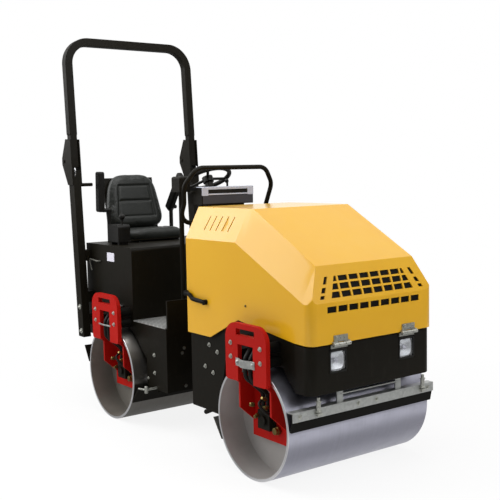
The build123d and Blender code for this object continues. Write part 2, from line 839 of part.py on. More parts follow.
def armrests():
    """Raised arm pads and the posts they fold on."""
    with BuildPart() as made:
        with Locations(Location((-1076, -300, 1357), (0, 2, 0))):
            Box(60, 42, 256)
        with Locations(Location((-1066, 252, 1340), (0, 36, 0))):
            Box(60, 42, 286)
        fillet(made.edges(), 12.0)
        for side, foot in ((-1, -1062), (1, -1120)):
            rod_z(foot, side * 250, 13.0, (box_top, 1240))
            rod_y(foot, 1240, 13.0, sorted((side * 237, side * 290)))
    return made.part


def control_box():
    """Travel control box beside the seat with its lever."""
    with BuildPart() as made:
        block((-907, -770), (-345, -262), (box_top + 18, box_top + 124))
        fillet(made.edges().filter_by(Axis.Y).group_by(Axis.Z)[-1], 20.0)
        for foot in (-890, -800):
            block((foot, foot + 18), (-335, -272), (box_top, box_top + 20))
        rod_z(-800, -300, 6.0, (box_top + 115, box_top + 165))
        with Locations((-800, -300, box_top + 172)):
            Sphere(19.0)
    return made.part


def console():
    """Steering console: pedestal, widened head and the wheel's column."""
    pedestal = [
        (console_back, floor_height - 4),
        (rear_frame_front - 12, floor_height - 4),
        (rear_frame_front - 12, 775),
        (console_front - 10, 840),
        (console_front - 10, 1290),
        (console_back, 1290),
    ]
    head = [
        (console_back - 10, 1290),
        (console_front, 1290),
        (console_front, console_height - 18),
        (console_front - 15, console_height),
        (console_back - 10, 1345),
    ]
    with BuildPart() as made:
        across(pedestal, (-120, 120))
        across(head, (-console_half_width, console_half_width))
        with Locations(Location((wheel_x, 0, wheel_z), (0, -wheel_tilt, 0))):
            with Locations((0, 0, -94)):
                Cylinder(24.0, 132.0)
                Cylinder(column_shaft_radius + spindle_gap, 132.0, mode=Mode.SUBTRACT)
    return made.part


def steering_wheel():
    """Rim, three spokes, hub and the shaft that turns in the column."""
    with BuildPart() as made:
        Torus(wheel_radius - 13, 13.0)
        with Locations((0, 0, -8)):
            Cylinder(32.0, 34.0)
        with Locations((0, 0, -70)):
            Cylinder(column_shaft_radius, 140.0)
        with PolarLocations(0, 3, start_angle=90):
            with Locations(Location(((wheel_radius - 6) / 2, 0, -3), (0, 90, 0))):
                Cylinder(8.0, wheel_radius - 26)
    with BuildPart() as placed:
        add(made.part.moved(Location((wheel_x, 0, wheel_z), (0, -wheel_tilt, 0))))
    return placed.part


def grab_rail():
    """Guard hoop ahead of the console."""
    with BuildPart() as made:
        tube([
            (-160, 120, 1190),
            (-160, 288, 1190),
            (-106, 288, 1300),
            (-78, 304, 1400),
            (-50, 236, 1496),
            (-50, -236, 1496),
            (-78, -304, 1400),
            (-106, -288, 1300),
            (-160, -288, 1190),
            (-160, -120, 1190),
        ], 13.0, 80.0)
    return made.part


def lever_stand():
    """Upright stand with a switch box, to the right of the wheel."""
    with BuildPart() as made:
        rod_z(-250, -216, 14.0, (floor_height - 4, 1365))
        block((-290, -208), (-252, -180), (1362, 1450))
        fillet(made.edges().group_by(Axis.Z)[-1], 12.0)
    return made.part


# Each scraper: axle, side of the drum (+1 ahead of it), edge height, then the blade's root
# and the arm's outline, both as run from the axle and height
scrapers = {
    "front_drum_rear_scraper": (front_axle, -1, 143.0, (-320, 240), [
        (-458, 222), (-378, 222), (-316, 232), (-316, 244), (-386, 236), (-458, 236)]),
    "rear_drum_front_scraper": (rear_axle, 1, 143.0, (320, rear_frame_foot - 2), [
        (408, 222), (316, 232), (316, 244), (378, 240), (378, 300), (408, 300)]),
    "rear_drum_rear_scraper": (rear_axle, -1, 300.0, (-340, 395), [
        (-346, 390), (-334, 390), (-352, 520), (-377, 520)]),
}

keep(front_frame(), "front_frame")
keep(nose(), "nose")
keep(lamp_bodies(), "headlamp_bodies")
keep(lamp_lenses(), "headlamp_lenses")
keep(hood(), "hood")
keep(hood_latches(), "hood_latches")
keep(grille_screen(), "grille_screen")
nose_leaf = ((nose_front, nose_front + 5), (666, 683))
hood_leaf = ((hood_front, hood_front + 5), (698, 728))
keep(hinge_plates(nose_leaf, 50, (679, 687), ((-20, 20),), False), "hood_hinge_leaves")
keep(hinge_plates(hood_leaf, 42, (687, 700), ((-52, -22), (22, 52)), True), "hood_hinge_straps")
keep(engine(), "engine_block")
keep(front_scraper(), "front_scraper_bar")
keep(front_scraper_blade(), "front_scraper_blade")
for name, setting in scrapers.items():
    keep(scraper(*setting), name)
for end, axle in (("front", front_axle), ("rear", rear_axle)):
    keep(drum(axle), f"{end}_drum")
    keep(forks(axle), f"{end}_forks")
    keep(fork_buffers(axle), f"{end}_fork_buffers")
    keep(motors(axle), f"{end}_drum_motors")
    keep(hoses(axle), f"{end}_hoses")
    keep(hose_brackets(axle), f"{end}_hose_brackets")
keep(rear_frame(), "rear_frame")
keep(floor_plate(), "floor_plate")
keep(seat_box(), "seat_box")
keep(roll_bar_posts(), "roll_bar_posts")
keep(roll_bar(), "roll_bar")
keep(knuckle(), "centre_knuckle")
keep(steering_barrel(), "steering_barrel")
keep(steering_rod(), "steering_rod")
keep(seat_frame(), "seat_frame")
keep(seat_cushion(), "seat_cushion")
keep(seat_backrest(), "seat_backrest")
keep(armrests(), "armrests")
keep(control_box(), "control_box")
keep(console(), "console")
keep(steering_wheel(), "steering_wheel")
keep(grab_rail(), "grab_rail")
keep(lever_stand(), "lever_stand")

os.makedirs("parts", exist_ok=True)
for name, part in parts.items():
    part = part.moved(Location((to_centre, 0, 0)))
    part.label = name
    export_step(part, f"parts/{name}.step")
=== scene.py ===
import math
import bpy
import numpy as np
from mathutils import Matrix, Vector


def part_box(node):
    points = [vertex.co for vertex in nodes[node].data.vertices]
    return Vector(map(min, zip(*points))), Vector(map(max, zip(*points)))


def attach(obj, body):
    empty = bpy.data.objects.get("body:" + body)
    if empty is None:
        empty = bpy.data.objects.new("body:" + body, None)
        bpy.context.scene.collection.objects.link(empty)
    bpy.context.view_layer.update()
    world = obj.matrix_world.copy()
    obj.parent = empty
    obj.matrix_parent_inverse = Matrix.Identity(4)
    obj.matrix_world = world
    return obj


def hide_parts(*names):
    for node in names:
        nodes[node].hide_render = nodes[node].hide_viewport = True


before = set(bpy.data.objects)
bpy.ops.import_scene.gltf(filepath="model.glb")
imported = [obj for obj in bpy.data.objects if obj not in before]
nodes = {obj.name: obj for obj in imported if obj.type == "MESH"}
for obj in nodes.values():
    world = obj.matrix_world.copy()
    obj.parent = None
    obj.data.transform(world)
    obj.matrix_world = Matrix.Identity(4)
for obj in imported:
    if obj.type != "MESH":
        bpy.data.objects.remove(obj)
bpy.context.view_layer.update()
scene = bpy.context.scene
mm = 0.001
print("stage: frame loaded")

# Camera, in metres and degrees
cameraLook = {"place": (4.1236, -2.9233, 1.485), "yaw": 143.374, "pitch": -5.207, "roll": -1.094, "lens": 64.05}


def placeCamera(look):
    # Forward from yaw and pitch, then right and up turned about it by the roll
    yaw, pitch, roll = (math.radians(look[key]) for key in ("yaw", "pitch", "roll"))
    forward = np.array([math.cos(pitch) * math.cos(yaw), math.cos(pitch) * math.sin(yaw), math.sin(pitch)])
    right = np.cross(forward, (0, 0, 1))
    right /= np.linalg.norm(right)
    up = np.cross(right, forward)
    turnedRight = math.cos(roll) * right + math.sin(roll) * up
    turnedUp = math.cos(roll) * up - math.sin(roll) * right
    matrix = np.eye(4)
    matrix[:3, :3] = np.stack([turnedRight, turnedUp, -forward], axis=1)
    matrix[:3, 3] = look["place"]
    camera = bpy.data.objects.new("camera", bpy.data.cameras.new("camera"))
    camera.data.lens, camera.data.sensor_width = look["lens"], 36.0
    camera.data.clip_end = 200.0
    camera.matrix_world = matrix.T.tolist()
    scene.collection.objects.link(camera)
    scene.camera = camera


placeCamera(cameraLook)
scene.view_settings.view_transform = "Standard"


# Lamps and studio: place, what they face, width and watts
lamps = {
    "overheadLamp": {"place": (0.9, -0.2, 5.0), "faces": (0.3, 0.0, 0.8), "width": 3.6, "watts": 125},
    "backLamp": {"place": (-2.6, -3.1, 3.5), "faces": (0.5, -0.35, 1.1), "width": 4.2, "watts": 205},
    "frontLamp": {"place": (4.3, 1.2, 3.6), "faces": (0.8, 0.0, 0.5), "width": 2.6, "watts": 78},
}
worldLook = {"light": 0.28, "glossAhead": 0.2, "glossBehind": 1.0}
# How bright the floor shows in gloss, by metres ahead of the middle
floorGloss = [(0.7, 0.25), (0.9, 0.7), (1.0, 0.6), (1.08, 0.4), (1.24, 0.36), (1.36, 0.8), (1.5, 1.0), (1.8, 1.0),
              (2.2, 0.2)]


def addLamps():
    for name, setting in lamps.items():
        lamp = bpy.data.lights.new(name, "AREA")
        lamp.shape, lamp.size, lamp.energy = "SQUARE", setting["width"], setting["watts"]
        holder = bpy.data.objects.new(name, lamp)
        place = np.array(setting["place"])
        back = place - np.array(setting["faces"])
        back /= np.linalg.norm(back)
        side = np.cross((0, 0, 1), back)
        side /= np.linalg.norm(side)
        matrix = np.eye(4)
        matrix[:3, :3] = np.stack([side, np.cross(back, side), back], axis=1)
        matrix[:3, 3] = place
        holder.matrix_world = matrix.T.tolist()
        scene.collection.objects.link(holder)


def addNode(tree, kind, settings=None, **inputs):
    # A node with its settings, and inputs given as plain values or as sockets to link
    made = tree.nodes.new("ShaderNode" + kind)
    for key, value in (settings or {}).items():
        setattr(made, key, value)
    for key, value in inputs.items():
        name = key.replace("_", " ")
        socket = made.inputs[int(name[1:])] if name[1:].isdigit() else made.inputs[name]
        if isinstance(value, bpy.types.NodeSocket):
            tree.links.new(value, socket)
        else:
            socket.default_value = value
    return made


def addStudio():
    # White to the eye and through glass, plain grey light on the object, gloss brighter up and behind
    world = bpy.data.worlds.new("studio")
    scene.world = world
    world.use_nodes = True
    tree = world.node_tree
    tree.nodes.clear()
    path = addNode(tree, "LightPath")
    toward = addNode(tree, "SeparateXYZ", None, Vector=addNode(tree, "TexCoord").outputs["Generated"])
    behind = sums(tree, "MULTIPLY", band(tree, toward.outputs["X"], 0.1, -0.4),
                  band(tree, toward.outputs["Y"], -0.2, 0.25))
    above = band(tree, toward.outputs["Z"], 0.25, 0.6)
    lit = sums(tree, "MAXIMUM", behind, above)
    gloss = band(tree, lit, 0.0, 1.0, worldLook["glossAhead"], worldLook["glossBehind"])
    seen = sums(tree, "MAXIMUM", path.outputs["Is Camera Ray"], path.outputs["Is Transmission Ray"])
    glossOrLight = addNode(tree, "MapRange", None, Value=path.outputs["Is Glossy Ray"],
                           To_Min=worldLook["light"], To_Max=gloss)
    level = addNode(tree, "MapRange", None, Value=seen, To_Min=glossOrLight.outputs[0], To_Max=1.0)
    shade = addNode(tree, "Background", None, Color=(1, 1, 1, 1), Strength=level.outputs[0])
    out = addNode(tree, "OutputWorld")
    tree.links.new(shade.outputs[0], out.inputs[0])
    # Floor: a wide disc of rings, so that it has no straight edge in sight
    rings, turns = np.array([0.0, 1.0, 3.0, 8.0, 30.0]), np.linspace(0, 2 * np.pi, 65)[:-1]
    radius, angle = np.meshgrid(rings[1:], turns, indexing="ij")
    points = np.stack([radius * np.cos(angle), radius * np.sin(angle), 0 * radius], axis=-1)
    piece = gridPiece("studioFloor", [(points, False, True, True, False)])
    material = bpy.data.materials.new("studioFloor")
    material.use_nodes = True
    tree = material.node_tree
    shader = tree.nodes["Principled BSDF"]
    shader.inputs["Roughness"].default_value = 0.9
    shader.inputs["Base Color"].default_value = (0.93, 0.93, 0.93, 1)
    path = addNode(tree, "LightPath")
    away = addNode(tree, "VectorMath", {"operation": "LENGTH"}, i0=addNode(tree, "TexCoord").outputs["Object"])
    far = band(tree, away.outputs["Value"], 1.1, 2.6, 0.87, 1.0)
    toEye = sums(tree, "MULTIPLY", far, path.outputs["Is Camera Ray"])
    toGloss = sums(tree, "MULTIPLY", path.outputs["Is Glossy Ray"], 0.85)
    ahead = addNode(tree, "SeparateXYZ", None, Vector=addNode(tree, "TexCoord").outputs["Object"]).outputs["X"]
    inGloss = stepped(tree, ahead, floorGloss)
    strength = addNode(tree, "MapRange", None, Value=path.outputs["Is Glossy Ray"], To_Min=1.0, To_Max=inGloss)
    glow = addNode(tree, "Emission", None, Color=(1, 1, 1, 1), Strength=strength.outputs[0])
    blended = addNode(tree, "MixShader", None, Fac=sums(tree, "MAXIMUM", toEye, toGloss))
    tree.links.new(shader.outputs[0], blended.inputs[1])
    tree.links.new(glow.outputs[0], blended.inputs[2])
    tree.links.new(blended.outputs[0], tree.nodes["Material Output"].inputs["Surface"])
    piece.data.materials.append(material)
    piece.location.z = -0.0005


def gridFaces(rows, columns, closedAlong, closedAcross, first):
    # Quads between neighbouring points of a grid, wrapped round where it is closed
    along = np.arange(rows if closedAlong else rows - 1)
    across = np.arange(columns if closedAcross else columns - 1)
    i, j = np.meshgrid(along, across, indexing="ij")
    k, l = (i + 1) % rows, (j + 1) % columns
    quads = np.stack([i * columns + j, k * columns + j, k * columns + l, i * columns + l], axis=-1)
    return quads.reshape(-1, 4) + first


def gridPiece(name, grids):
    # One mesh from grids of points: (points, closed along, closed across, cap at start, cap at end)
    verts, faces, total = [], [], 0
    for points, closedAlong, closedAcross, capStart, capEnd in grids:
        points = np.asarray(points, dtype=float)
        rows, columns = points.shape[:2]
        verts.append(points.reshape(-1, 3))
        faces += gridFaces(rows, columns, closedAlong, closedAcross, total).tolist()
        if capStart:
            faces.append((np.arange(columns) + total).tolist())
        if capEnd:
            faces.append((np.arange(columns)[::-1] + total + (rows - 1) * columns).tolist())
        total += rows * columns
    mesh = bpy.data.meshes.new(name)
    mesh.from_pydata(np.concatenate(verts).tolist(), [], faces)
    mesh.validate()
    made = bpy.data.objects.new(name, mesh)
    scene.collection.objects.link(made)
    return made


def linear(code):
    # Linear colour from a six-figure screen colour
    screen = np.array([int(code[at:at + 2], 16) / 255 for at in (0, 2, 4)])
    value = np.where(screen <= 0.04045, screen / 12.92, ((screen + 0.055) / 1.055) ** 2.4)
    return (*value.tolist(), 1.0)


def startMaterial(name, roughness, metallic=0.0):
    material = bpy.data.materials.new(name)
    material.use_nodes = True
    tree = material.node_tree
    shader = tree.nodes["Principled BSDF"]
    shader.inputs["Metallic"].default_value = metallic
    shader.inputs["Roughness"].default_value = roughness
    return material, tree, shader, addNode(tree, "TexCoord").outputs["Object"]


def stretched(tree, coords, scale):
    return addNode(tree, "Mapping", None, Vector=coords, Scale=scale).outputs[0]


def noise(tree, coords, scale, detail=3.0, roughness=0.5):
    return addNode(tree, "TexNoise", None, Vector=coords, Scale=scale, Detail=detail,
                   Roughness=roughness).outputs["Fac"]


def band(tree, value, low, high, toLow=0.0, toHigh=1.0):
    # A clamped straight ramp between two values
    made = addNode(tree, "MapRange", None, Value=value, From_Min=low, From_Max=high, To_Min=toLow, To_Max=toHigh)
    return made.outputs[0]


def mixed(tree, share, first, second):
    made = addNode(tree, "Mix", {"data_type": "RGBA"})
    for index, value in ((0, share), (6, first), (7, second)):
        if isinstance(value, bpy.types.NodeSocket):
            tree.links.new(value, made.inputs[index])
        else:
            made.inputs[index].default_value = value
    return made.outputs[2]


def stepped(tree, value, stops):
    # A line through pairs of value and level: the first level, plus each rise in turn
    level = stops[0][1]
    for (low, before), (high, after) in zip(stops[:-1], stops[1:]):
        level = sums(tree, "ADD", band(tree, value, low, high, 0.0, after - before), level)
    return level


def sums(tree, kind, first, second):
    return addNode(tree, "Math", {"operation": kind}, i0=first, i1=second).outputs[0]


def bump(tree, shader, height, strength, distance, before=None):
    made = addNode(tree, "Bump", None, Strength=strength, Distance=distance, Height=height)
    if before is not None:
        tree.links.new(before, made.inputs["Normal"])
    tree.links.new(made.outputs[0], shader.inputs["Normal"])
    return made.outputs[0]


def paint(name, look):
    # Sprayed enamel: slight shade drift, orange-peel skin, thin dust settled in the rough of it
    material, tree, shader, coords = startMaterial(name, look["roughness"])
    drift = noise(tree, coords, 2.2, 4.0)
    shade = mixed(tree, band(tree, drift, 0.3, 0.7), linear(look["colour"]), linear(look["second"]))
    dust = noise(tree, stretched(tree, coords, (7, 7, 2.5)), 6.0, 8.0, 0.65)
    dusty = mixed(tree, band(tree, dust, 0.55, 0.9, 0.0, look["dust"]), shade, linear("8C8578"))
    tree.links.new(dusty, shader.inputs["Base Color"])
    spread = noise(tree, coords, 9.0, 5.0)
    rough = band(tree, spread, 0.3, 0.75, look["roughness"] - 0.04, look["roughness"] + 0.07)
    tree.links.new(rough, shader.inputs["Roughness"])
    shader.inputs["Specular IOR Level"].default_value = look["specular"]
    shader.inputs["Coat Weight"].default_value = look["coat"]
    shader.inputs["Coat Roughness"].default_value = look["coatRoughness"]
    bump(tree, shader, noise(tree, coords, 260.0, 2.0), look["peel"], 0.0004)
    return material


yellowPaintLook = {"colour": "DDA50D", "second": "DFAA12", "roughness": 0.45, "specular": 0.2, "coat": 0.8,
                   "coatRoughness": 0.16, "dust": 0.004, "peel": 0.06}
redPaintLook = {"colour": "AE150C", "second": "A21009", "roughness": 0.5, "specular": 0.08, "coat": 0.0,
                "coatRoughness": 0.25, "dust": 0.03, "peel": 0.15}
blackPaintLook = {"colour": "100D06", "second": "15120A", "roughness": 0.5, "specular": 0.12, "coat": 0.02,
                  "coatRoughness": 0.2, "dust": 0.03, "peel": 0.15}
glossBlackLook = {"colour": "0F0E0A", "second": "13110C", "roughness": 0.3, "specular": 0.3, "coat": 0.2,
                  "coatRoughness": 0.1, "dust": 0.03, "peel": 0.1}
panelPaintLook = {"colour": "414147", "second": "48484E", "roughness": 0.45, "specular": 0.2, "coat": 0.05,
                  "coatRoughness": 0.3, "dust": 0.03, "peel": 0.1}
silverPaintLook = {"colour": "CDD2E2", "second": "C4C9D9", "roughness": 0.3, "specular": 0.4, "coat": 0.3,
                   "coatRoughness": 0.15, "dust": 0.03, "peel": 0.1}
whitePlateLook = {"colour": "E4E2EC", "second": "DAD8E4", "roughness": 0.35, "specular": 0.4, "coat": 0.2,
                  "coatRoughness": 0.2, "dust": 0.03, "peel": 0.05}
yellowPaint = paint("yellowPaint", yellowPaintLook)
redPaint = paint("redPaint", redPaintLook)
blackPaint = paint("blackPaint", blackPaintLook)
glossBlack = paint("glossBlack", glossBlackLook)
panelPaint = paint("panelPaint", panelPaintLook)
silverPaint = paint("silverPaint", silverPaintLook)
whitePlate = paint("whitePlate", whitePlateLook)


def drumSteel(name, centre, look):
    # Turned shell with fine rings and scuffs, and a painted highlight along each end's rim; inside the mouth, dull
    # plate with a mottled mill skin, painted lighter as painted reflected light
    material, tree, shader, coords = startMaterial(name, look["roughness"], 0.85)
    local = addNode(tree, "VectorMath", {"operation": "SUBTRACT"}, i0=coords, i1=tuple(centre))
    parts = addNode(tree, "SeparateXYZ", None, Vector=local.outputs[0])
    squared = sums(tree, "ADD", sums(tree, "POWER", parts.outputs["X"], 2.0),
                   sums(tree, "POWER", parts.outputs["Z"], 2.0))
    radius = sums(tree, "SQRT", squared, 0.0)
    outside = band(tree, radius, look["radius"] - 0.0136, look["radius"] - 0.0133)
    fromMiddle = addNode(tree, "Math", {"operation": "ABSOLUTE"}, i0=parts.outputs["Y"]).outputs[0]
    # The last two millimetres at each end are painted near white: a painted edge highlight along the rim
    rimHighlight = band(tree, fromMiddle, look["halfLength"] - 0.0022, look["halfLength"] - 0.0018)
    angle = sums(tree, "ARCTAN2", parts.outputs["X"], parts.outputs["Z"])
    wrapped = addNode(tree, "CombineXYZ", None, X=angle, Y=parts.outputs["Y"], Z=radius).outputs[0]
    rings = noise(tree, stretched(tree, wrapped, (0.5, 90.0, 1.0)), 2.0, 2.0, 0.5)
    scuffs = noise(tree, stretched(tree, wrapped, (2.0, 4.0, 1.0)), 2.5, 6.0, 0.6)
    bright = mixed(tree, band(tree, rings, 0.3, 0.7), linear(look["bright"]), linear(look["brightSecond"]))
    bright = mixed(tree, band(tree, scuffs, 0.5, 0.8, 0.0, 0.25), bright, linear(look["scuff"]))
    bright = mixed(tree, rimHighlight, bright, linear(look["rimHighlight"]))
    # Inside the mouth the plate is painted light grey: partly its mottled mill skin, partly painted reflected light
    # standing in for light that reaches into the mouth
    mill = noise(tree, coords, 7.0, 6.0, 0.6)
    dull = mixed(tree, band(tree, mill, 0.3, 0.7), linear(look["dull"]), linear(look["dullSecond"]))
    tree.links.new(mixed(tree, outside, dull, bright), shader.inputs["Base Color"])
    tree.links.new(band(tree, outside, 0.0, 1.0, 0.3, 0.95), shader.inputs["Metallic"])
    inner = band(tree, mill, 0.3, 0.7, 0.42, 0.55)
    outer = band(tree, scuffs, 0.3, 0.8, look["roughness"], look["roughness"] + 0.14)
    rough = sums(tree, "ADD", sums(tree, "MULTIPLY", outer, outside),
                 sums(tree, "MULTIPLY", inner, sums(tree, "SUBTRACT", 1.0, outside)))
    tree.links.new(rough, shader.inputs["Roughness"])
    bump(tree, shader, rings, 0.02, 0.0001)
    return material


def galvanised(name, look):
    # Zinc skin: crystal cells each a little lighter or darker, over fine noise
    material, tree, shader, coords = startMaterial(name, look["roughness"], look["metallic"])
    cells = addNode(tree, "TexVoronoi", None, Vector=coords, Scale=look["cells"])
    cell = addNode(tree, "SeparateColor", None, Color=cells.outputs["Color"]).outputs[0]
    fine = noise(tree, coords, 120.0, 5.0)
    blend = sums(tree, "ADD", sums(tree, "MULTIPLY", cell, 0.5), sums(tree, "MULTIPLY", fine, 0.5))
    tree.links.new(mixed(tree, band(tree, blend, 0.2, 0.8), linear(look["colour"]), linear(look["second"])),
                   shader.inputs["Base Color"])
    tree.links.new(band(tree, blend, 0.2, 0.8, look["roughness"] - 0.08, look["roughness"] + 0.1),
                   shader.inputs["Roughness"])
    bump(tree, shader, fine, 0.1, 0.0002)
    return material


def chequerPlate(name, look):
    # Tread plate: short raised bars in turn along and across, on worn bright steel
    material, tree, shader, coords = startMaterial(name, look["roughness"], look["metallic"])
    parts = addNode(tree, "SeparateXYZ", None, Vector=addNode(
        tree, "Mapping", None, Vector=coords, Rotation=(0, 0, math.pi / 4), Scale=(look["cells"],) * 3).outputs[0])
    squareX, squareY = (addNode(tree, "Math", {"operation": "FLOOR"}, i0=parts.outputs[key]).outputs[0] for key in "XY")
    withinX, withinY = (addNode(tree, "Math", {"operation": "FRACT"}, i0=parts.outputs[key]).outputs[0] for key in "XY")
    turn = addNode(tree, "Math", {"operation": "PINGPONG"}, i0=sums(tree, "ADD", squareX, squareY), i1=1.0).outputs[0]
    fromX, fromY = (addNode(tree, "Math", {"operation": "ABSOLUTE"}, i0=sums(tree, "SUBTRACT", value, 0.5)).outputs[0]
                    for value in (withinX, withinY))
    flat = sums(tree, "MULTIPLY", band(tree, fromX, 0.42, 0.34), band(tree, fromY, 0.14, 0.08))
    upright = sums(tree, "MULTIPLY", band(tree, fromY, 0.42, 0.34), band(tree, fromX, 0.14, 0.08))
    raised = sums(tree, "ADD", sums(tree, "MULTIPLY", flat, turn),
                  sums(tree, "MULTIPLY", upright, sums(tree, "SUBTRACT", 1.0, turn)))
    wear = noise(tree, coords, 14.0, 6.0, 0.6)
    shade = mixed(tree, band(tree, wear, 0.3, 0.7), linear(look["colour"]), linear(look["second"]))
    tree.links.new(mixed(tree, sums(tree, "MULTIPLY", raised, 0.6), shade, linear(look["worn"])),
                   shader.inputs["Base Color"])
    tree.links.new(band(tree, wear, 0.3, 0.7, look["roughness"] - 0.06, look["roughness"] + 0.1),
                   shader.inputs["Roughness"])
    bump(tree, shader, raised, 0.8, 0.0015)
    return material


def castSkin(name, look):
    # Sand-cast iron under black paint: coarse grain with worn dark spots
    material, tree, shader, coords = startMaterial(name, look["roughness"], 0.2)
    grain = noise(tree, coords, 190.0, 5.0, 0.7)
    patch = noise(tree, coords, 14.0, 5.0)
    tree.links.new(mixed(tree, band(tree, patch, 0.3, 0.7), linear(look["colour"]), linear(look["second"])),
                   shader.inputs["Base Color"])
    bump(tree, shader, grain, 0.5, 0.0008)
    shader.inputs["Specular IOR Level"].default_value = 0.15
    return material


def rubberSkin(name, look):
    # Moulded rubber: fine grain and grey bloom
    material, tree, shader, coords = startMaterial(name, look["roughness"])
    bloom = noise(tree, coords, 11.0, 6.0, 0.6)
    tree.links.new(mixed(tree, band(tree, bloom, 0.35, 0.75), linear(look["colour"]), linear(look["second"])),
                   shader.inputs["Base Color"])
    tree.links.new(band(tree, bloom, 0.3, 0.7, look["roughness"] - 0.06, look["roughness"] + 0.08),
                   shader.inputs["Roughness"])
    bump(tree, shader, noise(tree, coords, look["grain"], 3.0), look["relief"], 0.0005)
    shader.inputs["Specular IOR Level"].default_value = look["specular"]
    return material


def vinylSkin(name, look):
    # Seat vinyl: small closed cells with creases between them, over soft hollows
    material, tree, shader, coords = startMaterial(name, look["roughness"])
    cells = addNode(tree, "TexVoronoi", {"feature": "DISTANCE_TO_EDGE"}, Vector=coords, Scale=look["cells"])
    crease = band(tree, cells.outputs["Distance"], 0.0, 0.18)
    soft = noise(tree, coords, 16.0, 4.0)
    tree.links.new(mixed(tree, band(tree, soft, 0.3, 0.7), linear(look["colour"]), linear(look["second"])),
                   shader.inputs["Base Color"])
    tree.links.new(band(tree, crease, 0.0, 1.0, look["roughness"] + 0.15, look["roughness"]),
                   shader.inputs["Roughness"])
    first = bump(tree, shader, crease, 0.35, 0.0005)
    bump(tree, shader, soft, 0.3, 0.002, first)
    shader.inputs["Specular IOR Level"].default_value = 0.3
    shader.inputs["Coat Weight"].default_value = 0.15
    shader.inputs["Coat Roughness"].default_value = 0.3
    return material


def glassSkin(name, ribs):
    # Moulded lens: upright flutes in the glass
    material, tree, shader, coords = startMaterial(name, 0.06)
    shader.inputs["Base Color"].default_value = (0.93, 0.95, 0.97, 1)
    shader.inputs["Transmission Weight"].default_value = 0.92
    shader.inputs["IOR"].default_value = 1.45
    wave = addNode(tree, "TexWave", {"bands_direction": "Y"}, Vector=coords, Scale=ribs)
    bump(tree, shader, wave.outputs["Fac"], 0.05, 0.0006)
    return material


def polished(name, look):
    # Bright metal with faint rubbing marks
    material, tree, shader, coords = startMaterial(name, look["roughness"], 1.0)
    marks = noise(tree, stretched(tree, coords, look["stretch"]), 60.0, 5.0)
    tree.links.new(mixed(tree, band(tree, marks, 0.3, 0.7), linear(look["colour"]), linear(look["second"])),
                   shader.inputs["Base Color"])
    tree.links.new(band(tree, marks, 0.3, 0.7, look["roughness"] - 0.04, look["roughness"] + 0.06),
                   shader.inputs["Roughness"])
    bump(tree, shader, marks, 0.06, 0.0002)
    return material


frontDrumLook = {"radius": 0.28, "halfLength": 0.4575, "roughness": 0.27, "bright": "B4B4C2", "brightSecond": "AFAFBC",
                 "scuff": "9A9BA6", "rimHighlight": "E2E2E4", "dull": "A09D9A", "dullSecond": "ADAAA8"}
# Rear drum: the front drum's steel painted darker and warmer all over, as painted shade for the shade over the rear
# drum and the dark floor it reflects
rearDrumShadedLook = dict(frontDrumLook, bright="9A9792", brightSecond="938F8A", scuff="7E7B77", dull="736F68",
                    dullSecond="7F7B74")
galvanisedLook = {"colour": "A4A6A4", "second": "B9BBB8", "roughness": 0.42, "metallic": 0.75, "cells": 60.0}
darkZincLook = {"colour": "5C5B55", "second": "6A6962", "roughness": 0.45, "metallic": 0.6, "cells": 120.0}
zincBoltLook = {"colour": "A9AAA2", "second": "C2C3BB", "roughness": 0.34, "metallic": 0.85, "cells": 160.0}
castIronLook = {"colour": "171610", "second": "221F18", "roughness": 0.55}
engineLook = {"colour": "2B2C2A", "second": "35352F", "roughness": 0.6}
rubberLook = {"colour": "0B0A08", "second": "12110E", "roughness": 0.6, "specular": 0.1, "grain": 300.0, "relief": 0.25}
hoseLook = {"colour": "0D0D0A", "second": "151510", "roughness": 0.5, "specular": 0.25, "grain": 600.0, "relief": 0.4}
plasticLook = {"colour": "0E0D0A", "second": "141310", "roughness": 0.48, "specular": 0.22, "grain": 900.0,
               "relief": 0.3}
vinylLook = {"colour": "131612", "second": "191C18", "roughness": 0.38, "cells": 420.0}
chequerLook = {"colour": "A6A7A5", "second": "B4B5B2", "worn": "DFE0DE", "roughness": 0.4, "metallic": 0.6,
               "cells": 33.0}
chromeLook = {"colour": "D8D9DB", "second": "C9CACC", "roughness": 0.12, "stretch": (1, 1, 1)}
brassLook = {"colour": "8C7A4A", "second": "7D6C40", "roughness": 0.3, "stretch": (1, 1, 1)}
reflectorLook = {"colour": "F2F2F4", "second": "E6E6E8", "roughness": 0.3, "stretch": (1, 1, 1)}

centreOf = {name: np.mean(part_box(name), axis=0) for name in ("front_drum", "rear_drum")}
frontDrumSteel = drumSteel("frontDrumSteel", centreOf["front_drum"], frontDrumLook)
rearDrumShadedSteel = drumSteel("rearDrumShadedSteel", centreOf["rear_drum"], rearDrumShadedLook)
galvanisedSteel = galvanised("galvanisedSteel", galvanisedLook)
zincBolt = galvanised("zincBolt", zincBoltLook)
darkZinc = galvanised("darkZinc", darkZincLook)
treadPlate = chequerPlate("treadPlate", chequerLook)
castIron = castSkin("castIron", castIronLook)
engineSkin = castSkin("engineSkin", engineLook)
blackRubber = rubberSkin("blackRubber", rubberLook)
hoseRubber = rubberSkin("hoseRubber", hoseLook)
blackPlastic = rubberSkin("blackPlastic", plasticLook)
seatVinyl = vinylSkin("seatVinyl", vinylLook)
lensGlass = glassSkin("lensGlass", 26.0)
rodChrome = polished("rodChrome", chromeLook)
brass = polished("brass", brassLook)
reflectorChrome = polished("reflectorChrome", reflectorLook)
print("stage: materials made")

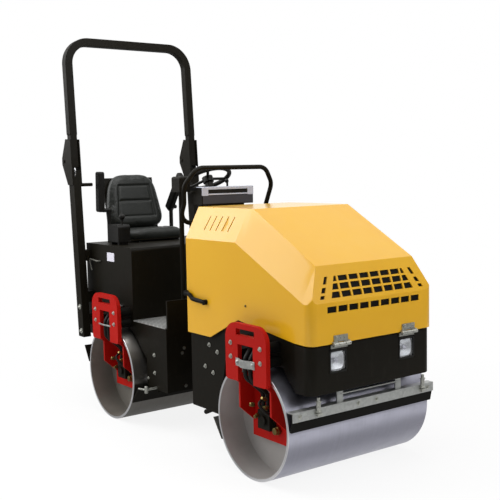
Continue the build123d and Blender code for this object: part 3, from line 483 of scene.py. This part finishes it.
nodeFinishes = {
    # rear_drum_front_scraper takes black paint as painted shade, drawn dark to stand for the shaded gap in front of the
    # rear drum
    blackPaint: ["rear_frame", "front_frame", "nose", "seat_box", "roll_bar_posts", "roll_bar", "seat_frame",
                 "grab_rail", "lever_stand", "rear_drum_rear_scraper", "console", "rear_drum_front_scraper"],
    redPaint: ["front_forks", "rear_forks"],
    yellowPaint: ["hood"],
    frontDrumSteel: ["front_drum"],
    rearDrumShadedSteel: ["rear_drum"],
    galvanisedSteel: ["front_scraper_bar", "front_hose_brackets", "rear_hose_brackets"],
    darkZinc: ["front_drum_rear_scraper"],
    treadPlate: ["floor_plate"],
    zincBolt: ["hood_hinge_leaves", "hood_hinge_straps"],
    castIron: ["front_drum_motors", "rear_drum_motors", "centre_knuckle"],
    engineSkin: ["engine_block"],
    blackRubber: ["front_fork_buffers", "rear_fork_buffers", "front_scraper_blade", "hood_latches",
                  "grille_screen"],
    hoseRubber: ["front_hoses", "rear_hoses"],
    blackPlastic: ["control_box", "armrests", "steering_wheel"],
    seatVinyl: ["seat_cushion", "seat_backrest"],
    lensGlass: ["headlamp_lenses"],
    glossBlack: ["steering_barrel", "headlamp_bodies"],
    rodChrome: ["steering_rod"],
}
for material, names in nodeFinishes.items():
    for name in names:
        data = nodes[name].data
        data.materials.clear()
        data.materials.append(material)

# Edge rounding of carried-over pieces, width in millimetres
edgeRounding = {
    "hood": (7.0, 3), "nose": (3.0, 2), "seat_box": (3.0, 2), "front_frame": (1.5, 2), "rear_frame": (1.5, 2),
    "front_forks": (2.0, 2), "rear_forks": (2.0, 2), "roll_bar": (4.0, 3), "roll_bar_posts": (3.0, 2),
    "console": (4.0, 2), "front_scraper_bar": (1.0, 2), "control_box": (3.0, 2), "lever_stand": (3.0, 2),
}


def roundEdges(name, width, segments):
    piece = nodes[name]
    weld = piece.modifiers.new("weld", "WELD")
    weld.merge_threshold = 0.00005
    bevel = piece.modifiers.new("roundEdges", "BEVEL")
    bevel.width, bevel.segments = width * mm, segments
    bevel.limit_method, bevel.angle_limit = "ANGLE", math.radians(28)
    bevel.harden_normals = False


for name, (width, segments) in edgeRounding.items():
    roundEdges(name, width, segments)
print("stage: frame dressed")

# Detail pieces. Places are millimetres from the steering pin, forward, left and up
toCentre = float(centreOf["front_drum"][0] + centreOf["rear_drum"][0]) / 2
axles = {"front": 708.0, "rear": -708.0}


def placed(points):
    return np.asarray(points, dtype=float) * mm + (toCentre, 0, 0)


def squareTo(axis):
    # Two directions square to an axis, then the axis itself, as rows
    third = np.asarray(axis, dtype=float)
    third = third / np.linalg.norm(third)
    other = (0, 0, 1) if abs(third[2]) < 0.9 else (1, 0, 0)
    first = np.cross(other, third)
    first /= np.linalg.norm(first)
    return np.stack([first, np.cross(third, first), third])


def turned(profile, start, axis, turns=24):
    # Pairs of along and radius carried round an axis: start + along*axis + radius*(cos, sin)
    along, radius = np.asarray(profile, dtype=float).T
    first, second, third = squareTo(axis)
    angle = np.arange(turns) * 2 * np.pi / turns
    ring = np.cos(angle)[:, None] * first - np.sin(angle)[:, None] * second
    points = np.asarray(start) + along[:, None, None] * third + radius[:, None, None] * ring
    return placed(points), False, True, True, True


def drawn(outline, axis, low, high):
    # An outline in the plane square to an axis, carried from low to high along it
    pairs = np.asarray(outline, dtype=float)
    pairs = pairs[:, ::-1] if axis == "y" else pairs
    first, second, third = {"x": (1, 2, 0), "y": (2, 0, 1), "z": (0, 1, 2)}[axis]
    after = np.roll(pairs, -1, axis=0)
    area = np.sum(pairs[:, 0] * after[:, 1] - after[:, 0] * pairs[:, 1])
    pairs = pairs[::-1] if area > 0 else pairs
    points = np.zeros((2, len(pairs), 3))
    points[..., first], points[..., second] = pairs[:, 0], pairs[:, 1]
    points[..., third] = np.array([[low], [high]])
    return placed(points), False, True, True, True


def slab(xs, ys, zs):
    return drawn([(xs[0], ys[0]), (xs[1], ys[0]), (xs[1], ys[1]), (xs[0], ys[1])], "z", *zs)


def eased(points, steps=8):
    # Smooth curve through points, by the usual cubic with each slope half the chord of its neighbours
    knots = np.asarray(points, dtype=float)
    padded = np.concatenate([2 * knots[:1] - knots[1:2], knots, 2 * knots[-1:] - knots[-2:-1]])
    a, b, c, d = padded[:-3, None], padded[1:-2, None], padded[2:-1, None], padded[3:, None]
    t = (np.arange(steps) / steps)[None, :, None]
    curve = 0.5 * (2 * b + (c - a) * t + (2 * a - 5 * b + 4 * c - d) * t ** 2 + (3 * b - a - 3 * c + d) * t ** 3)
    return np.concatenate([curve.reshape(-1, 3), knots[-1:]])


def tube(path, radius, reference=(0, 0, 1), turns=14):
    # A circle carried along a path: point + radius*(cos*side + sin*over), both square to its run
    path = np.asarray(path, dtype=float)
    run = np.gradient(path, axis=0)
    side = np.cross(reference, run)
    side /= np.linalg.norm(side, axis=1, keepdims=True)
    over = np.cross(run, side)
    over /= np.linalg.norm(over, axis=1, keepdims=True)
    angle = np.arange(turns) * 2 * np.pi / turns
    ring = np.cos(angle)[:, None] * side[:, None] - np.sin(angle)[:, None] * over[:, None]
    width = np.broadcast_to(np.asarray(radius, dtype=float), len(path))
    return placed(path[:, None] + width[:, None, None] * ring), False, True, True, True


def detail(name, body, grids, material, bevel=0.0, smooth=35.0):
    made = gridPiece(name, grids)
    made.data.polygons.foreach_set("use_smooth", np.ones(len(made.data.polygons), dtype=bool))
    made.data.set_sharp_from_angle(angle=math.radians(smooth))
    made.data.materials.append(material)
    if bevel:
        rounding = made.modifiers.new("rounding", "BEVEL")
        rounding.width, rounding.segments = bevel * mm, 2
        rounding.limit_method, rounding.angle_limit = "ANGLE", math.radians(35)
    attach(made, body)
    return made


def bolt(place, axis, size):
    # Round washer and a hexagon head chamfered on top, size across the flats
    corner = size / 2 / math.cos(math.pi / 6)
    washer = turned([(0, size), (0.14 * size, size), (0.16 * size, 0.96 * size)], place, axis, 20)
    head = turned([(0.1 * size, corner), (0.66 * size, corner), (0.78 * size, 0.84 * corner)], place, axis, 6)
    return [washer, head]


def bolts(places, axis, size):
    return [grid for place in places for grid in bolt(place, axis, size)]


# Bolts on forks and frames: the outer faces they sit on, and their places forward and up
sides = (-1, 1)
outerFace = {"fork": 488, "frame": 382}
sideBolt = {"size": 12, "fork": [(-116, 590), (-116, 657), (116, 590), (116, 657)],
            "front": [(250, 580), (323, 552), (210, 461), (282, 438)], "rear": [(-315, 436), (-316, 332)]}
for end, axle in axles.items():
    detail(end + "ForkBolts", end, [grid for side in sides for grid in bolts(
        [(axle + x, side * outerFace["fork"], z) for x, z in sideBolt["fork"]], (0, side, 0), sideBolt["size"])],
           zincBolt)
    detail(end + "FrameBolts", end, [grid for side in sides for grid in bolts(
        [(x, side * outerFace["frame"], z) for x, z in sideBolt[end]], (0, side, 0), sideBolt["size"])], zincBolt)
detail("jointBolts", "rear", bolts([(-178, side * y, z) for side in sides
                                    for y, z in ((280, 456), (267, 483), (261, 264))], (1, 0, 0), 10), darkZinc)
detail("hoodHingeBolts", "hood", bolts([(1083, side * 222 + step, 716) for side in sides for step in (-24, 24)],
                                       (1, 0, 0), 10), zincBolt)
detail("hoodSideBolts", "hood", [grid for side in sides for grid in bolts([(599, side * 400, 824)], (0, side, 0), 7)],
       brass)
detail("postFootBolts", "rear", [grid for side in sides for grid in bolts(
    [(-1081, side * 466, 637), (-1070, side * 466, 485)], (0, side, 0), 17)], zincBolt)
detail("scraperStuds", "rear", [grid for side in sides for grid in
                                [turned([(0, 6), (88, 6)], (-386, side * 450, 238), (1, 0, 0.1), 16),
                                 turned([(0, 7), (74, 7), (76, 5)], (-300, side * 380, 248), (0, side, 0), 16),
                                 turned([(0, 10), (38, 10), (40, 8)], (-300, side * 450, 228), (0, 0, 1), 16)]
                                + bolt((-390, side * 382, 290), (0, side, 0), 9)], zincBolt, 0.6)
print("stage: bolts")

# Clamps over the hoses on each fork: ears flat on the fork, raised saddle between them
clamp = {"ear": 74, "earBolt": 60, "sheet": 3.0, "saddle": 44, "points": 25, "power": 0.7,
         "rise": {"front": 14, "rear": 3}, "heights": {"front": (552, 590), "rear": (568, 577)}}


def clampGrids(end, axle, side):
    # Saddle stands off the fork's face by rise times the power of the cosine of a quarter turn across the slot
    face, (low, high) = outerFace["fork"], clamp["heights"][end]
    across = np.linspace(-1, 1, clamp["points"])
    height = clamp["rise"][end] * np.cos(across * np.pi / 2) ** clamp["power"]
    saddle = np.stack([across * clamp["saddle"], face + height], axis=1)
    line = np.concatenate([[(-clamp["ear"], face)], saddle, [(clamp["ear"], face)]])
    outline = np.concatenate([line, line[::-1] + (0, clamp["sheet"])]) * (1, side) + (axle, 0)
    bolted = sides if end == "front" else ()
    ears = [(axle + step * clamp["earBolt"], side * (face + clamp["sheet"]), (low + high) / 2) for step in bolted]
    return [drawn(outline, "z", low, high)] + bolts(ears, (0, side, 0), 11)


for end, axle in axles.items():
    made = detail(end + "HoseClamps", end, [grid for side in sides for grid in clampGrids(end, axle, side)]
                  + [slab((axle - 40, axle + 40), sorted((side * outerFace["frame"], side * 443)), (672, 683))
                     for side in sides],
                  galvanisedSteel, 1.0)
    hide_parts(end + "_hose_brackets")

# Studs through the fork buffers, and fittings on the motors: along, side, height, axis, radius, length
fittings = [
    (-60, 398, 347, (0, 1, 0.2), 10, 22), (-25, 398, 304, (0, 1, -0.3), 9, 24), (28, 392, 388, (0.2, 1, 0.5), 9, 30),
    (40, 392, 351, (0.3, 1, 0.1), 10, 28), (84, 364, 327, (0, 1, 0), 11, 34), (74, 350, 240, (0, 1, 0), 17, 30),
]


def fittingGrids(axle, side):
    grids = []
    for x, y, z, axis, radius, length in fittings:
        start, run = (axle + x, side * y, z), (axis[0], side * axis[1], axis[2])
        grids.append(turned([(0, radius * 1.25), (length * 0.55, radius * 1.25)], start, run, 6))
        grids.append(turned([(length * 0.5, radius), (length, radius), (length + 2, radius * 0.7)], start, run, 18))
    return grids


for end, axle in axles.items():
    detail(end + "MotorFittings", end, [grid for side in sides for grid in fittingGrids(axle, side)], brass, 0.8)
    detail(end + "MotorPipes", end, [tube(eased([
        (axle + 28, side * 410, 396), (axle + 34, side * 436, 372), (axle + 66, side * 424, 338),
        (axle + 84, side * 392, 318)]), 7.0, (0.3, 0, 1)) for side in sides], hoseRubber)
    studs = [(axle + 118, side * 398, 672) for side in sides]
    detail(end + "SideStuds", end, [turned([(0, 6.5), (40, 6.5), (42, 5)], place, (0, side, 0), 16)
                                    for place, side in zip(studs, sides)], zincBolt)
print("stage: forks fitted")

# Headlamps: bowl behind each lens, y and z half sizes in a square with rounded corners
bowl = {"halfWide": 43, "halfHigh": 41, "depth": 11, "mouth": 1049, "rings": 12, "turns": 48, "square": 4.0}


def bowlGrid(side):
    # depth falls as the square of the ring; outline is the curve |y|^n + |z|^n = 1
    ring = (np.arange(bowl["rings"]) + 1)[::-1] / bowl["rings"]
    angle = np.arange(bowl["turns"]) * 2 * np.pi / bowl["turns"]
    power = bowl["square"]
    spread = (np.abs(np.cos(angle)) ** power + np.abs(np.sin(angle)) ** power) ** (-1 / power)
    y = side * 223 + bowl["halfWide"] * ring[:, None] * (np.cos(angle) * spread)
    z = 606 + bowl["halfHigh"] * ring[:, None] * (np.sin(angle) * spread)
    x = bowl["mouth"] - bowl["depth"] * (1 - ring[:, None] ** 2) + 0 * y
    front = np.stack([x, y, z], axis=-1)
    rear = front[:1] - (bowl["depth"] + 2, 0, 0)
    return placed(np.concatenate([rear, front])), False, True, True, True


detail("lampBowls", "front", [bowlGrid(side) for side in sides], reflectorChrome, smooth=60)
detail("lampBulbs", "front", [turned([(0, 11), (8, 11), (11, 8)], (1041, side * 223, 606), (1, 0, 0), 20)
                              for side in sides], whitePlate, 1.0)
print("stage: lamps")

# Spring bolts that hold the front bar
springBolt = [(0, 7), (22, 7), (22, 15), (27, 15), (27, 10), (32, 11.5), (37, 10), (42, 11.5), (47, 10), (52, 11.5),
              (57, 10), (62, 11.5), (67, 10), (67, 14), (72, 14), (72, 8), (89, 8)]
detail("barSpringBolts", "front", [turned(springBolt, (1031, y, 355), (0, 0, 1), 18) for y in (-316, 374)]
       + [slab((1022, 1044), (y - 14, y + 14), (364, 372)) for y in (-316, 374)], zincBolt, 0.6)
detail("barBolts", "front", bolts([(1024, y, 370) for y in (-420, -60, 60, 420)], (1, 0, 0), 11), zincBolt)

# Console face: silver surround, dark slot, bright strip
detail("consoleBand", "rear", [slab((-94, -90), (-178, 178), (1374, 1388)),
                               slab((-94, -90), (-178, -136), (1340, 1375)),
                               slab((-94, -90), (136, 178), (1340, 1375)), slab((-94, -90), (-136, 136), (1343, 1351)),
                               slab((-150, -92), (-178, 178), (1385.5, 1389.5))], silverPaint, 1.2)
detail("consoleSlot", "rear", [slab((-94.5, -91.5), (-136, 136), (1351, 1374))], glossBlack)
detail("consolePanel", "rear", [slab((-94.5, -91), (-172, 172), (1294, 1340))], panelPaint, 1.0)
knobs = [(-150, -60), (-150, 0), (-150, 60), (-185, -40), (-185, 40)]
detail("consoleKnobs", "rear", [turned([(0, 11), (9, 10), (12, 7)], (x, y, 1368 + (x + 150) * 0.34 + 4),
                                       (-0.33, 0, 1), 18) for x, y in knobs], blackPlastic)
detail("throttleLever", "rear", [tube(eased([(-196, 79, 1344), (-204, 76, 1382), (-198, 70, 1414)]), 6.0, (0, 1, 0)),
                                 turned([(0, 8), (5, 11), (16, 12), (22, 8)], (-198, 69, 1408), (0, -0.2, 1), 20)],
       blackPlastic)
detail("ratingPlate", "rear", [slab((-850, -760), (-384.5, -382), (939, 992))], whitePlate, 0.6)
detail("boxLatch", "rear", [tube(eased([(-940, -384, 932), (-960, -398, 932), (-1030, -400, 938), (-1054, -398, 936),
                                        (-1050, -396, 900), (-1038, -394, 868)]), 5.0, (0, 1, 0.3))], darkZinc)
detail("linchPins", "rear", [tube(eased([(-1112, side * 455, 1513), (-1101, side * 455, 1502),
                                         (-1100, side * 455, 1472), (-1109, side * 455, 1460)]), 4.0, (0, 1, 0))
                             for side in sides], rodChrome)
detail("frameEndTube", "front", [turned([(0, 13), (64, 13)], (186, side * 370, 209), (0.92, 0, 0.39), 20)
                                 for side in sides], blackPaint, 1.0)
print("stage: console and plates")

# Seat pads: centre of the flat side, the pad's up, half sizes, narrowing, thickness, and the sewn panel in shares
# of the half sizes
leanBack = math.radians(11.0)
seatPads = {
    "seatBackrestPad": {
        "node": "seat_backrest", "up": (-math.sin(leanBack), 0, math.cos(leanBack)), "halfWide": 198, "halfHigh": 186,
        "base": (-1188 - 185 * math.sin(leanBack), 0, 1097 + 185 * math.cos(leanBack)), "narrow": 0.16, "thick": 66,
        "panelWide": 0.62, "panelLow": -0.56, "panelHigh": 0.54, "channels": (0.0,), "groove": 9.0},
    "seatCushionPad": {
        "node": "seat_cushion", "up": (-1, 0, 0), "halfWide": 213, "halfHigh": 118, "base": (-990, 0, 1047),
        "narrow": 0.02, "thick": 68, "panelWide": 0.66, "panelLow": -0.55, "panelHigh": 0.75, "channels": (0.1,),
        "groove": 7.0},
}
# Rings of a pad from the middle of its face to the middle of its back: share of the outline, share of thickness
padRings = np.array([(0.03, 1.0), (0.35, 1.0), (0.6, 0.99), (0.78, 0.97), (0.88, 0.93), (0.95, 0.84), (0.985, 0.7),
                     (1.0, 0.5), (0.995, 0.3), (0.97, 0.12), (0.92, 0.03), (0.85, 0.0), (0.5, 0.0), (0.03, 0.0)])


def padAxes(look):
    up = np.asarray(look["up"], dtype=float)
    across = np.array((0.0, 1.0, 0.0))
    return across, up, np.cross(across, up)


def padForm(name, look):
    # Outline |a|^4 + |b|^4 = 1, drawn to each ring's share, narrower towards its top
    across, up, out = padAxes(look)
    angle = np.arange(72) * 2 * np.pi / 72
    spread = (np.abs(np.cos(angle)) ** 4 + np.abs(np.sin(angle)) ** 4) ** -0.25
    share, height = padRings[:, 0, None], padRings[:, 1, None, None]
    a, b = share * (np.cos(angle) * spread), share * (np.sin(angle) * spread)
    wide = look["halfWide"] * a * (1 - look["narrow"] * b)
    points = (np.asarray(look["base"]) + wide[..., None] * across + (look["halfHigh"] * b)[..., None] * up
              + height * look["thick"] * out)
    return gridPiece(name, [(placed(points), False, True, True, True)])


def evaluated(piece):
    depsgraph = bpy.context.evaluated_depsgraph_get()
    return bpy.data.meshes.new_from_object(piece.evaluated_get(depsgraph))


def meshPoints(mesh):
    flat = np.empty(len(mesh.vertices) * 3)
    mesh.vertices.foreach_get("co", flat)
    return flat.reshape(-1, 3)


def settle(piece, mesh):
    piece.modifiers.clear()
    old = piece.data
    piece.data = mesh
    bpy.data.meshes.remove(old)


# Cloth skin: pressure, steps of time, and how far the air may move a point in millimetres
skin = {"voxel": 0.006, "pressure": 4.0, "quality": 5, "steps": 20, "cap": 7.0}
# Seams: width of a bell in millimetres, softness of the panel's edge, and how deep the panel lies
seams = {"edge": 6.0, "channel": 7.0, "soft": 10.0, "panel": 0.45, "faceFrom": 0.6, "faceOver": 0.25}


def swell(piece):
    # Air pressure in a cloth skin rounds the pad; no point moves farther than the cap
    remesh = piece.modifiers.new("skin", "REMESH")
    remesh.mode, remesh.voxel_size = "VOXEL", skin["voxel"]
    settle(piece, evaluated(piece))
    before = meshPoints(piece.data)
    cloth = piece.modifiers.new("pressure", "CLOTH")
    cloth.settings.use_pressure, cloth.settings.uniform_pressure_force = True, skin["pressure"]
    cloth.settings.effector_weights.gravity = 0.0
    cloth.settings.quality = skin["quality"]
    cloth.point_cache.frame_start, cloth.point_cache.frame_end = 1, skin["steps"]
    for step in range(1, skin["steps"] + 1):
        scene.frame_set(step)
    swollen = evaluated(piece)
    move = meshPoints(swollen) - before
    length = np.linalg.norm(move, axis=1, keepdims=True)
    move *= np.minimum(1.0, skin["cap"] * mm / np.maximum(length, 1e-9))
    swollen.vertices.foreach_set("co", (before + move).ravel())
    settle(piece, swollen)
    scene.frame_set(1)


def sew(piece, look):
    # Panel seam and cross channels pressed into the face: depth times a bell of the distance to each seam
    across, up, out = padAxes(look)
    points = meshPoints(piece.data)
    local = (points - (toCentre, 0, 0)) / mm - np.asarray(look["base"])
    b = local @ up / look["halfHigh"]
    a = local @ across / (look["halfWide"] * (1 - look["narrow"] * b))
    face = np.clip((local @ out / look["thick"] - seams["faceFrom"]) / seams["faceOver"], 0, 1)
    fromSide = (np.abs(a) - look["panelWide"]) * look["halfWide"]
    middle, half = (look["panelHigh"] + look["panelLow"]) / 2, (look["panelHigh"] - look["panelLow"]) / 2
    fromEnd = (np.abs(b - middle) - half) * look["halfHigh"]
    seam = np.exp(-(np.maximum(fromSide, fromEnd) / seams["edge"]) ** 2)
    inside = np.clip(-np.maximum(fromSide, fromEnd) / seams["soft"], 0, 1)
    gaps = np.array([(b - at) * look["halfHigh"] for at in look["channels"]])
    cross = np.exp(-(gaps / seams["channel"]) ** 2).max(axis=0) * inside
    depth = look["groove"] * (np.maximum(seam, cross) + seams["panel"] * inside)
    points -= (depth * face * mm)[:, None] * out
    piece.data.vertices.foreach_set("co", points.ravel())


for name, look in seatPads.items():
    pad = padForm(name, look)
    swell(pad)
    sew(pad, look)
    subdivision = pad.modifiers.new("smooth", "SUBSURF")
    subdivision.levels = subdivision.render_levels = 1
    pad.data.polygons.foreach_set("use_smooth", np.ones(len(pad.data.polygons), dtype=bool))
    pad.data.materials.clear()
    pad.data.materials.append(seatVinyl)
    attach(pad, "rear")
    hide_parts(look["node"])
    print("stage:", name, len(pad.data.vertices), "points")

addLamps()
addStudio()
print("stage: studio lit")
